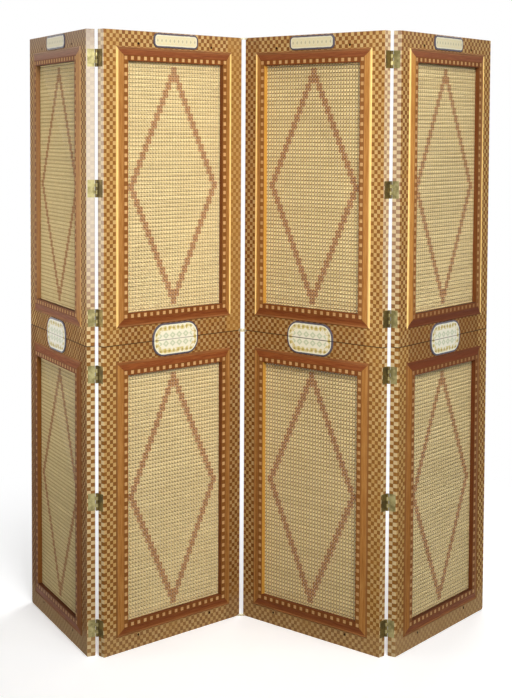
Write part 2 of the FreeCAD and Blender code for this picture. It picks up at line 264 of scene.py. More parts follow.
class Finish(Nodes):
    """One material that is painted by its nodes."""

    def __init__(self, name):
        self.material = bpy.data.materials.new(name)
        self.material.use_nodes = True
        super().__init__(self.material.node_tree)
        self.shader = self.tree.nodes["Principled BSDF"]

    def paint(self, **inputs):
        for name, value in inputs.items():
            self.feed(self.shader.inputs[name.replace("_", " ")], value)

    def bump(self, height, strength, distance):
        """Fine relief: height in shares of a distance in millimetres."""
        normal = self.out("ShaderNodeBump", {"Height": height, "Strength": strength,
                                             "Distance": distance * MM})
        self.feed(self.shader.inputs["Normal"], normal)

    def paint_wood(self, base, grain, rough, specular):
        """Base colour and sheen of wood, with rough for the dark fibres and the light ones."""
        self.paint(Base_Color=base, Roughness=self.ease(grain, *FIBRES, *rough),
                   Specular_IOR_Level=specular)

    def place(self):
        """Metres of the whole screen at rest."""
        return self.tree.nodes.new("ShaderNodeTexCoord").outputs["Object"]

    def leaf_point(self, leaf):
        """Millimetres of the leaf itself: across, back from the front face, up."""
        corner, turn = LEAF_PLACE[leaf]
        back = Matrix.Rotation(math.radians(-turn), 3, "Z")
        away = back @ Vector((corner[0], corner[1], 0.0)) / -MM
        return self.out("ShaderNodeMapping", {"Vector": self.place(), "Location": away,
                                              "Rotation": (0.0, 0.0, math.radians(-turn)),
                                              "Scale": (1.0 / MM, 1.0 / MM, 1.0 / MM)})

    def from_side(self, x):
        """How far in from the nearer side edge of the leaf."""
        return self.minus(LEAF_W / 2, self.off_middle(x, LEAF_W / 2))

    def by_panel(self, shares, x, z):
        """One of four shares: left and right in the lower panel, then in the upper one."""
        low, high = shares
        right = self.above(x, LEAF_W / 2)
        return self.choose(self.above(z, SEAM_Z), self.choose(right, *low), self.choose(right, *high))

    def shades(self, grain, *colours):
        """Wood from its dark fibres to its light ones."""
        return self.ramp(grain, *zip(SHADE_STOPS, colours))


LIGHT_SQUARE = (colour(240, 205, 137), colour(224, 182, 109))
DARK_SQUARE = (colour(160, 104, 48), colour(134, 82, 35))
RAIL_SHADE = colour(120, 74, 36)
# squares in painted light and in pale faded patches, and squares in painted shade
FADED_AND_LIT_SQUARE = colour(188, 138, 68)
SHADED_SQUARE = colour(104, 58, 28)
# painted highlight on the side edges
EDGE_HIGHLIGHT_PALE = colour(250, 242, 224)
EDGE_HIGHLIGHT_SQUARE = colour(255, 232, 178)
SCUFFED = colour(206, 172, 124)
GREY_BLOOM = colour(178, 162, 148)
JOINT_LINE = colour(84, 46, 20)
PLUG_DARK = colour(40, 22, 12)
SEAM_DARK = colour(52, 30, 16)
BACK_WOOD = (colour(104, 60, 28), colour(152, 94, 48), colour(184, 122, 66))
MOULD_LEVEL = (colour(86, 42, 19), colour(126, 68, 34), colour(150, 90, 46))
MOULD_UPRIGHT = (colour(134, 84, 37), colour(176, 122, 60), colour(200, 150, 84))
BAND_WOOD = colour(112, 64, 28)
# stain, and painted shadow at the outer edge of the mouldings
WOOD_STAIN_AND_SHADE = colour(98, 47, 22)
# painted highlight on the bead
BEAD_HIGHLIGHT = colour(242, 204, 128)
# inner sides of the mouldings: the wood's colour with painted light and shade
REVEAL_RED_SHADED = colour(92, 44, 23)
REVEAL_GOLD_LIT = colour(206, 154, 62)
REVEAL_SHADE = colour(66, 33, 19)
STRAW = (colour(152, 116, 60), colour(255, 235, 178))
STRAW_AGED = colour(176, 136, 66)
STRAW_SHADE = colour(146, 114, 57)
STRAW_DYE = colour(206, 164, 150)
INLAY_PALE = (colour(206, 166, 112), colour(180, 136, 84))
GLAZE = colour(229, 223, 199)
GLAZE_DULL = colour(214, 206, 178)
GLAZE_BLUE = colour(50, 39, 66)
GLAZE_OCHRE = colour(196, 172, 74)
GLAZE_OLIVE = colour(112, 96, 40)
GLAZE_GREEN = colour(142, 164, 108)
# one brass, in a copy with painted light and a copy with painted shade
BRASS_LIT = (colour(126, 116, 72), colour(176, 166, 116))
BRASS_SHADED = (colour(76, 64, 34), colour(116, 98, 52))
# pivots in a paler brass: painted light against the shade of the fold
BRASS_PIVOT_LIT = (colour(204, 196, 164), colour(226, 220, 196))

# what follows is how far, in shares, the surfaces of each leaf are worn, stained or faded, or carry
# painted light and shade

# squares of the left and right stile, lower and upper panel: painted light, or below 0 painted shade
STILE_LIGHT_AND_SHADE = {1: ((-0.6, -0.5), (-0.1, 0.0)),
         2: ((0.1, -0.4), (0.25, 0.65)),
         3: ((-0.2, 0.3), (-0.35, 0.2)),
         4: ((0.25, 0.0), (-0.2, 0.1))}
# rails beside the seam, stained, and the other rails, by RAIL_FAR
RAIL_STAIN = {1: 0.35, 2: 0.36, 3: 0.32, 4: 0.55}
RAIL_FAR = 0.08
RAIL_Z = (60.0, 110.0)
# bottom rails, scuffed
SCUFF = {1: 0.62, 2: 0.25, 3: 0.28, 4: 0.6}
SCUFF_Z = 45.0
# side edges, with a painted highlight from the seam up
EDGE_HIGHLIGHT_SHARE = {1: 0.8, 2: 0.45, 3: 0.2, 4: 0.2}
EDGE_HIGHLIGHT_Z = (SEAM_Z, SEAM_Z + 400.0)
# light and dark squares of the side edges, lightened by a painted highlight
EDGE_LIGHT_SHARES = (0.75, 0.35)
# left and right moulding, lower and upper panel, stained
UPRIGHT_STAIN = {1: ((0.85, 0.75), (0.5, 0.2)),
                 2: ((0.3, 0.32), (0.35, 0.28)),
                 3: ((0.27, 0.3), (0.1, 0.3)),
                 4: ((0.45, 0.6), (0.12, 0.25))}
# upper level mouldings, stained towards the top
LEVEL_STAIN = 0.3
# outer bead of the upper upright mouldings, with a painted highlight of pale wood, and of the lower and
# the level ones
BEAD_HIGHLIGHT_SHARE = {1: 0.15, 2: 0.85, 3: 0.9, 4: 0.9}
LOWER_BEAD_HIGHLIGHT = 0.05
LEVEL_BEAD_HIGHLIGHT = 0.08
# level mouldings near the seam, stained
SEAM_STAIN = {1: 0.1, 2: 0.1, 3: 0.1, 4: 0.85}
# inner side of the mouldings, partly the wood's own colour and partly painted light and shade: golden
# and lit on the left ones, red and shaded on the right ones, dark and shaded on the level ones
GOLD_LIT_SHARE = {1: 0.1, 2: 0.6, 3: 0.6, 4: 0.6}
RED_SHADED_SHARE = 0.8
LEVEL_REVEAL_SHADE = {1: 0.75, 2: 0.25, 3: 0.3, 4: 0.8}
# inlaid squares, stained
INLAY_STAIN = {1: 0.3, 2: 0.05, 3: 0.15, 4: 0.2}
INLAY_SEAM_SHARE = 0.7
# dark line where the seam cuts the middle plaques
PLAQUE_CUT = {1: 0.4, 2: 0.45, 3: 0.9, 4: 0.6}
CUT_LINE = (0.8, 1.6)
# varnish gone grey, in the upper panel and at its top
BLOOM = {1: (0.15, 0.6), 2: (0.0, 0.05), 3: (0.0, 0.05), 4: (0.0, 0.1)}
BLOOM_LOW_Z = (SEAM_Z, SEAM_Z + 150.0)
BLOOM_TOP_Z = (1690.0, TOP_Z)

# wood: its figure and pores for each millimetre along and across, and its sheen by fibre
FIGURE = (0.012, 0.22)
PORES = (0.06, 2.4)
PORE_SHARE = 0.35
FIBRES = (0.2, 0.8)
SHADE_STOPS = (0.32, 0.5, 0.68)
ROUGH_FRAME = (0.62, 0.5)
ROUGH_MOULD = (0.56, 0.42)
ROUGH_INLAY = (0.5, 0.4)
SPECULAR = 0.04
SPECULAR_MOULD = 0.05
# millimetres: grid of the squares against the leaf's corner, and how deep a face is painted
CELL_SHIFT = (0.3, 0.5, 0.3)
SKIN = 0.6
THIN_SKIN = 0.3
DEEP = 2.0
# the level and the upright boards are cut from other places in the wood
BOARD_SHIFT = 31.0
PATCH_SCALE = 0.006
# from, to, and the share at each: by fibre and patch
DARK_FIBRES = (0.3, 0.7, 0.24, 0.0)
UNEVEN = (0.35, 0.6, 0.65, 1.0)
PALE_PATCHES = (0.55, 0.75, 0.0, 0.4)
# and by distance in millimetres: joints, seam and mitre, painted shadow at the moulding's outer edge,
# bead, and reach of the seam's stain
SHARP_LINE = (0.06, 0.22, 0.6, 0.0)
SOFT_LINE = (0.2, 1.7, 0.4, 0.0)
SEAM_LINE = (0.7, 2.2, 0.85, 0.0)
MITRE_LINE = (0.15, 0.6, 0.7, 0.0)
OUTER_EDGE_SHADOW = (2.5, 6.0, 0.6, 0.0)
BEAD = (4.5, 10.0, 1.0, 0.0)
BAND_SHARE = 0.7
MOULD_SEAM = (60.0, 150.0)
INLAY_SEAM = (90.0, 200.0)


def wood_grain(finish, along, across, deep):
    """Long fibres: 0 to 1, stretched along the length, with finer pores in it."""
    def fibres(stretch, detail, rough):
        length, width = stretch
        place = finish.join_xyz(finish.times(along, length), finish.times(across, width),
                                finish.times(deep, width))
        return finish.noise(place, 1.0, detail, rough)

    return finish.choose(PORE_SHARE, fibres(FIGURE, 5.0, 0.6), fibres(PORES, 2.0, 0.5))


def bloom(finish, z, leaf):
    """How far the varnish has gone grey: a little in the upper panel, more at its top."""
    panel, top = BLOOM[leaf]
    return finish.largest(finish.ease(z, *BLOOM_LOW_Z, 0.0, panel),
                          finish.ease(z, *BLOOM_TOP_Z, 0.0, top))


def chequered_wood(leaf):
    """Small light and dark squares on the front and the edges, plain wood at the back."""
    finish = Finish("chequered_wood_%d" % leaf)
    point = finish.leaf_point(leaf)
    x, y, z = finish.xyz(point)
    shifted = finish.vector("ADD", point, CELL_SHIFT)
    cell = finish.vector("DIVIDE", shifted, (SQUARE, EDGE_SQUARE, SQUARE))
    index = finish.vector("FLOOR", cell)
    i, j, k = finish.xyz(index)
    dark = finish.math("FLOORED_MODULO", finish.total(i, j, k), 2.0)
    tone = finish.chance(index)
    squares = finish.mix(dark, finish.mix(tone, *LIGHT_SQUARE), finish.mix(tone, *DARK_SQUARE))

    level_grain = wood_grain(finish, x, z, y)
    upright_grain = wood_grain(finish, z, x, y)
    grain = finish.choose(dark, upright_grain, level_grain)
    squares = finish.mix(finish.ease(grain, *DARK_FIBRES), squares, JOINT_LINE)
    from_side = finish.from_side(x)
    on_stile = finish.below(from_side, STILE_W)
    from_seam = finish.off_middle(z, SEAM_Z)
    shaded = finish.ease(from_seam, *RAIL_Z, RAIL_STAIN[leaf], RAIL_FAR)
    squares = finish.mix(finish.choose(on_stile, shaded, 0.0), squares, RAIL_SHADE)

    patches = finish.noise(finish.scaled(point, PATCH_SCALE), 1.0, 3.0, 0.6)
    # painted light on the stile squares, in patches, and painted shade where the share is below 0
    faded_and_lit = finish.times(finish.by_panel(STILE_LIGHT_AND_SHADE[leaf], x, z), on_stile)
    faded_and_lit = finish.times(faded_and_lit, finish.ease(patches, *UNEVEN))
    darkened = finish.largest(finish.times(faded_and_lit, -1.0), 0.0)
    squares = finish.mix(darkened, squares, SHADED_SQUARE)
    faded_and_lit = finish.largest(faded_and_lit, finish.ease(patches, *PALE_PATCHES))
    squares = finish.mix(faded_and_lit, squares, FADED_AND_LIT_SQUARE)
    squares = finish.mix(finish.ease(z, SCUFF_Z, 2 * SCUFF_Z, SCUFF[leaf], 0.0), squares, SCUFFED)

    # painted highlight on the side edges: all their squares lighter, and paler still from the seam up
    edge_highlight = finish.ease(z, *EDGE_HIGHLIGHT_Z, 0.0, EDGE_HIGHLIGHT_SHARE[leaf])
    on_edge = finish.below(from_side, SKIN)
    highlit_edge = finish.mix(dark, EDGE_HIGHLIGHT_SQUARE, FADED_AND_LIT_SQUARE)
    squares = finish.mix(finish.times(on_edge, finish.choose(dark, *EDGE_LIGHT_SHARES)), squares, highlit_edge)
    squares = finish.mix(finish.times(on_edge, edge_highlight), squares, EDGE_HIGHLIGHT_PALE)
    squares = finish.mix(bloom(finish, z, leaf), squares, GREY_BLOOM)

    fx, fy, fz = finish.xyz(finish.vector("FRACTION", cell))
    edges = []
    for part, size in ((fx, SQUARE), (fy, EDGE_SQUARE), (fz, SQUARE)):
        near = finish.minus(0.5, finish.off_middle(part, 0.5))
        edges.append(finish.times(near, size))
    joint = finish.smallest(finish.smallest(edges[0], edges[1]), edges[2])
    line = finish.largest(finish.ease(joint, *SHARP_LINE), finish.ease(joint, *SOFT_LINE))
    squares = finish.mix(line, squares, JOINT_LINE)
    squares = finish.mix(finish.ease(from_seam, *SEAM_LINE), squares, SEAM_DARK)

    plug_x = finish.off_middle(finish.off_middle(x, LEAF_W / 2), PLUG_OFF)
    plug_z = finish.smallest(finish.off_middle(z, PLUG_LOW), finish.off_middle(z, PLUG_HIGH))
    plug = finish.times(finish.below(finish.distance(plug_x, plug_z), PLUG_R), finish.below(y, 1.0))
    squares = finish.mix(plug, squares, PLUG_DARK)

    back = finish.shades(finish.choose(on_stile, level_grain, upright_grain), *BACK_WOOD)
    from_end = finish.math("PINGPONG", z, SEAM_Z / 2)
    in_opening = finish.times(finish.above(from_side, STILE_W - 1.0), finish.above(from_end, DEEP))
    in_opening = finish.times(in_opening, finish.above(y, DEEP))
    bare = finish.largest(finish.above(y, LEAF_T - SKIN), in_opening)
    finish.paint_wood(finish.mix(bare, squares, back), grain, ROUGH_FRAME, SPECULAR)
    relief = finish.total(finish.times(tone, 0.25), finish.times(line, -0.8), finish.times(grain, 0.4))
    finish.bump(relief, 0.5, 0.1)
    return finish.material


def moulding_wood(leaf):
    """Red-brown level lengths, golden uprights with a painted highlight on the bead, dark band under the
    inlay.
    """
    finish = Finish("moulding_wood_%d" % leaf)
    x, y, z = finish.xyz(finish.leaf_point(leaf))
    in_x = finish.minus(finish.from_side(x), MOULD_OUT)
    spans = []
    for foot, head in MOULD_Z.values():
        spans.append(finish.minus((head - foot) / 2, finish.off_middle(z, (foot + head) / 2)))
    in_z = finish.largest(*spans)
    upright = finish.below(in_x, in_z)
    across = finish.smallest(in_x, in_z)
    along = finish.choose(upright, x, z)
    other_board = finish.times(upright, BOARD_SHIFT)
    grain = wood_grain(finish, finish.total(along, other_board), finish.total(across, other_board), y)
    wood = finish.mix(upright, finish.shades(grain, *MOULD_LEVEL), finish.shades(grain, *MOULD_UPRIGHT))

    in_upper = finish.above(z, SEAM_Z)
    right = finish.above(x, LEAF_W / 2)
    stain = finish.by_panel(UPRIGHT_STAIN[leaf], x, z)
    stain = finish.choose(upright, finish.ease(z, SEAM_Z, TOP_Z, 0.0, LEVEL_STAIN), stain)
    wood = finish.mix(stain, wood, WOOD_STAIN_AND_SHADE)
    # painted shadow along the outer edge of the lower upright mouldings
    edge_shadow = finish.times(finish.choose(in_upper, upright, 0.0), finish.ease(across, *OUTER_EDGE_SHADOW))
    wood = finish.mix(edge_shadow, wood, WOOD_STAIN_AND_SHADE)
    # painted highlight along the outer bead, strongest on the upper uprights
    bead_highlight = finish.choose(in_upper, LOWER_BEAD_HIGHLIGHT, BEAD_HIGHLIGHT_SHARE[leaf])
    bead_highlight = finish.choose(upright, LEVEL_BEAD_HIGHLIGHT, bead_highlight)
    wood = finish.mix(finish.times(finish.ease(across, *BEAD), bead_highlight), wood, BEAD_HIGHLIGHT)
    near_seam = finish.ease(finish.off_middle(z, SEAM_Z), *MOULD_SEAM, SEAM_STAIN[leaf], 0.0)
    wood = finish.mix(finish.times(near_seam, finish.minus(1.0, upright)), wood, WOOD_STAIN_AND_SHADE)
    wood = finish.mix(bloom(finish, z, leaf), wood, GREY_BLOOM)

    on_top = finish.below(y, THIN_SKIN - MOULD_RISE)
    band = finish.times(finish.above(across, BAND_IN + THIN_SKIN), on_top)
    wood = finish.mix(finish.times(band, BAND_SHARE), wood, BAND_WOOD)
    # painted light and shade on the inner sides, by the way each one faces
    reveal = finish.above(across, MOULD_W - THIN_SKIN)
    level_reveal = finish.times(reveal, finish.choose(upright, LEVEL_REVEAL_SHADE[leaf], 0.0))
    wood = finish.mix(level_reveal, wood, REVEAL_SHADE)
    side_share = finish.choose(right, GOLD_LIT_SHARE[leaf], RED_SHADED_SHARE)
    side_reveal = finish.times(finish.times(reveal, upright), side_share)
    wood = finish.mix(side_reveal, wood, finish.mix(right, REVEAL_GOLD_LIT, REVEAL_RED_SHADED))
    mitre = finish.ease(finish.off_middle(in_x, in_z), *MITRE_LINE)
    wood = finish.mix(mitre, wood, JOINT_LINE)
    finish.paint_wood(wood, grain, ROUGH_MOULD, SPECULAR_MOULD)
    finish.bump(finish.total(finish.times(grain, 0.6), finish.times(mitre, -0.8)), 0.4, 0.12)
    return finish.material


def plain_wood(leaf):
    """Brown wood of the beads and dowels, like the back."""
    finish = Finish("plain_wood_%d" % leaf)
    x, y, z = finish.xyz(finish.leaf_point(leaf))
    on_stile = finish.below(finish.from_side(x), STILE_W + BACK_BEAD_W)
    grain = finish.choose(on_stile, wood_grain(finish, x, z, y), wood_grain(finish, z, x, y))
    finish.paint_wood(finish.shades(grain, *BACK_WOOD), grain, ROUGH_FRAME, SPECULAR)
    finish.bump(grain, 0.4, 0.1)
    return finish.material


def woven_cane(leaf):
    """Straw with a tone for each strand, painted shade in the lines between them, and a lozenge of dyed
    cells.
    """
    finish = Finish("woven_cane_%d" % leaf)
    point = finish.leaf_point(leaf)
    x, y, z = finish.xyz(point)

    def cells_out(cells):
        """Whole cells from the middle of the panel to this one, counted to its centre."""
        return finish.unsigned(finish.total(finish.math("FLOOR", cells), 0.5))

    def between(cells, near, far, share):
        """A line between one pair of strands and the next."""
        return finish.ease(finish.off_middle(finish.math("FRACT", cells), 0.5), near, far, share, 0.0)

    middle = finish.choose(finish.above(z, SEAM_Z), OPENING_Z["lower"], OPENING_Z["upper"])
    columns = finish.divided(finish.minus(x, LEAF_W / 2), PITCH_X)
    rows = finish.divided(finish.minus(z, middle), PITCH_Z)
    reach = finish.total(cells_out(columns), finish.times(cells_out(rows), 0.5))
    dyed = finish.times(finish.above(reach, LOZENGE_IN), finish.below(reach, LOZENGE_OUT))
    tone = finish.add("ShaderNodeAttribute", attribute_name="strand_tone").outputs["Fac"]
    mottle = finish.noise(point, 0.05, 4.0, 0.6)
    tone = finish.largest(tone, TONE_FLOOR[leaf])
    straw = finish.mix(finish.choose(MOTTLE_SHARE, tone, mottle), *STRAW)
    # painted shade between the strands
    column_lines = between(columns, *COLUMN_LINE, COLUMN_SHADE[leaf])
    row_lines = between(rows, *ROW_LINE, ROW_SHADE[leaf])
    straw = finish.mix(finish.largest(column_lines, row_lines), straw, STRAW_SHADE)
    blotch = finish.noise(finish.vector("ADD", point, BLOTCH_SHIFT), 0.4, 3.0, 0.6)
    straw = finish.mix(finish.ease(blotch, *AGED), straw, STRAW_AGED)
    dyed = finish.times(dyed, finish.ease(blotch, *DYE_WORN))
    straw = finish.mix(dyed, straw, STRAW_DYE, "MULTIPLY")
    finish.paint(Base_Color=straw, Roughness=finish.ease(mottle, 0.3, 0.7, 0.45, 0.58),
                 Specular_IOR_Level=SPECULAR)
    finish.bump(blotch, 0.3, 0.05)
    return finish.material


def inlay_wood(leaf):
    """Pale squares, no two alike, stained near the seam."""
    finish = Finish("inlay_wood_%d" % leaf)
    point = finish.leaf_point(leaf)
    index = finish.vector("FLOOR", finish.scaled(point, 1.0 / (2 * SQUARE)))
    x, y, z = finish.xyz(point)
    grain = wood_grain(finish, z, x, y)
    shade = finish.choose(0.5, finish.chance(index), grain)
    stained = INLAY_SEAM_SHARE * SEAM_STAIN[leaf]
    near_seam = finish.ease(finish.off_middle(z, SEAM_Z), *INLAY_SEAM, stained, 0.0)
    stain = finish.largest(near_seam, INLAY_STAIN[leaf])
    pale = finish.mix(stain, finish.mix(shade, *INLAY_PALE), BAND_WOOD)
    finish.paint_wood(pale, grain, ROUGH_INLAY, SPECULAR)
    finish.bump(grain, 0.3, 0.08)
    return finish.material


def plaque_edge(finish, u, v, size):
    """Distance from the plaque's rounded outline, negative inside."""
    width, height, radius = size[:3]
    over_u = finish.largest(finish.minus(finish.unsigned(u), width / 2 - radius), 0.0)
    over_v = finish.largest(finish.minus(finish.unsigned(v), height / 2 - radius), 0.0)
    return finish.minus(finish.distance(over_u, over_v), radius)


def lozenges(finish, u, v, pitch, wide, tall):
    """A row of small lozenges along u: 1 inside one of them."""
    part = finish.off_middle(finish.math("FRACT", finish.divided(u, pitch)), 0.5)
    reach = finish.total(finish.times(part, 2 * pitch / wide),
                         finish.divided(finish.unsigned(v), tall / 2))
    return finish.ease(reach, 0.8, 1.1, 1.0, 0.0)


# plaques, in millimetres: rim, field and border in from the outline, and the rows of lozenges
RIM_FROM = (-5.4, -4.6)
FIELD_FROM = (-9.0, -7.5)
BORDER_TO = (-23.0, -21.5)
CENTRE_FROM = (-25.0, -24.0)
TOP_PITCH = 16.0
BORDER_PITCH = 17.0
BORDER_ROWS = (-34.0, -17.0, 0.0, 17.0, 34.0)
CENTRE_PITCH = 26.0
CENTRE_ROWS = (-12.0, 12.0)


def glazed_plaque(leaf, size):
    """White glaze with a blue outline and rows of small lozenges."""
    height = size[3]
    finish = Finish("glazed_plaque_%d_%d" % (leaf, int(height)))
    point = finish.leaf_point(leaf)
    x, y, z = finish.xyz(point)
    wobble = finish.times(finish.minus(finish.noise(point, 0.12, 2.0), 0.5), 1.6)
    u = finish.total(finish.minus(x, LEAF_W / 2), wobble)
    v = finish.total(finish.minus(z, height), wobble)
    edge = plaque_edge(finish, u, v, size)

    def lay(paint, shape, share, shade):
        return finish.mix(finish.times(shape, share), paint, shade)

    def lay_row(paint, field, at, figure, share, shade):
        """One row of lozenges of this pitch, width and height, within the field."""
        row = lozenges(finish, u, finish.minus(v, at), *figure)
        return lay(paint, finish.times(row, field), share, shade)

    if size is TOP_PLAQUE:
        field = finish.ease(edge, *FIELD_FROM, 1.0, 0.0)
        paint = lay(GLAZE_DULL, field, 0.3, GLAZE_OCHRE)
        paint = lay_row(paint, field, 0.0, (TOP_PITCH, 13.0, 19.0), 0.6, GLAZE_DULL)
        paint = lay_row(paint, field, 0.0, (TOP_PITCH, 8.0, 13.0), 0.4, GLAZE_OLIVE)
    else:
        border = finish.times(finish.ease(edge, *FIELD_FROM, 1.0, 0.0), finish.ease(edge, *BORDER_TO))
        centre = finish.ease(edge, *CENTRE_FROM, 1.0, 0.0)
        stained = finish.ease(finish.noise(point, 0.11, 2.0), 0.42, 0.6)
        paint = lay(GLAZE, finish.times(border, stained), 0.6, GLAZE_OCHRE)
        for at in BORDER_ROWS:
            paint = lay_row(paint, border, at, (BORDER_PITCH, 17.0, 17.0), 0.7, GLAZE_OCHRE)
            paint = lay_row(paint, border, at, (BORDER_PITCH, 7.0, 7.0), 0.6, GLAZE_OLIVE)
        for at in CENTRE_ROWS:
            paint = lay_row(paint, centre, at, (CENTRE_PITCH, 25.0, 21.0), 0.5, GLAZE_GREEN)
            paint = lay_row(paint, centre, at, (CENTRE_PITCH, 11.0, 9.0), 0.8, GLAZE)
        cut = finish.ease(finish.off_middle(z, SEAM_Z), *CUT_LINE, PLAQUE_CUT[leaf], 0.0)
        paint = finish.mix(cut, paint, SEAM_DARK)
    paint = lay(paint, finish.ease(edge, *RIM_FROM), 0.92, GLAZE_BLUE)
    finish.paint(Base_Color=paint, Roughness=0.2, Coat_Weight=0.15, Coat_Roughness=0.1,
                 Specular_IOR_Level=0.3)
    finish.bump(finish.noise(point, 0.08, 3.0), 0.25, 0.5)
    return finish.material


def aged_brass(name, shades):
    """Clouded brass with fine upright scratches."""
    finish = Finish(name)
    where = finish.place()
    cloud = finish.noise(where, 40.0, 4.0, 0.6)
    scratch = finish.noise(finish.vector("MULTIPLY", where, (1.0, 1.0, 0.1)), 1500.0, 2.0, 0.5)
    finish.paint(Base_Color=finish.mix(finish.ease(cloud, 0.35, 0.65), *shades), Metallic=0.7,
                 Roughness=finish.ease(cloud, 0.3, 0.7, 0.58, 0.4))
    finish.bump(finish.total(cloud, finish.times(scratch, 0.4)), 0.4, 0.06)
    return finish.material


class PieceTree(Nodes):
    """A Geometry Nodes tree with named inputs for its sizes."""

    def __init__(self, name, inputs):
        super().__init__(bpy.data.node_groups.new(name, "GeometryNodeTree"))
        face = self.tree.interface
        self.ids = {}
        for label, kind in inputs:
            socket = face.new_socket(name=label, in_out="INPUT", socket_type="NodeSocket" + kind)
            self.ids[label] = socket.identifier
        face.new_socket(name="Geometry", in_out="OUTPUT", socket_type="NodeSocketGeometry")
        self.given = self.tree.nodes.new("NodeGroupInput").outputs

    def moved(self, geometry, place=(0, 0, 0), turn=(0, 0, 0), scale=(1, 1, 1)):
        return self.out("GeometryNodeTransform", {"Geometry": geometry, "Translation": place,
                                                  "Rotation": turn, "Scale": scale})

    def joined(self, *parts):
        made = self.tree.nodes.new("GeometryNodeJoinGeometry")
        for part in parts:
            self.tree.links.new(part, made.inputs[0])
        return made.outputs[0]

    def along(self, count, start, step, instance):
        """One copy of instance at each of count places from start, step apart."""
        row = self.out("GeometryNodeMeshLine", {"Count": count, "Start Location": start, "Offset": step})
        copies = self.out("GeometryNodeInstanceOnPoints", {"Points": row, "Instance": instance})
        return self.out("GeometryNodeRealizeInstances", {"Geometry": copies})

    def finish(self, geometry):
        """Turns the piece to its leaf, gives it its material and ends the tree."""
        placed = self.moved(geometry, self.given["Place"], self.join_xyz(0.0, 0.0, self.given["Turn"]))
        whole = self.out("GeometryNodeRealizeInstances", {"Geometry": placed})
        painted = self.out("GeometryNodeSetMaterial", {"Geometry": whole,
                                                       "Material": self.given["Material"]})
        end = self.tree.nodes.new("NodeGroupOutput")
        self.tree.links.new(painted, end.inputs[0])

    def make(self, name, values):
        """A plain mesh piece from the tree, with these values for its inputs."""
        blank = bpy.data.objects.new(name + "_plan", bpy.data.meshes.new(name + "_plan"))
        bpy.context.scene.collection.objects.link(blank)
        modifier = blank.modifiers.new("plan", "NODES")
        modifier.node_group = self.tree
        for label, value in values.items():
            modifier[self.ids[label]] = value
        bpy.context.view_layer.update()
        grown = blank.evaluated_get(bpy.context.evaluated_depsgraph_get())
        mesh = bpy.data.meshes.new_from_object(grown)
        mesh.name = name
        piece = bpy.data.objects.new(name, mesh)
        bpy.context.scene.collection.objects.link(piece)
        bpy.data.objects.remove(blank)
        return piece


PLACE_INPUTS = [("Place", "Vector"), ("Turn", "Float"), ("Material", "Material")]
NEARLY_HALF = 0.499


def parity(tree, value):
    """1 for an even whole number, -1 for an odd one."""
    odd = tree.math("FLOORED_MODULO", tree.math("ROUND", value), 2.0)
    return tree.minus(1.0, tree.times(odd, 2.0))


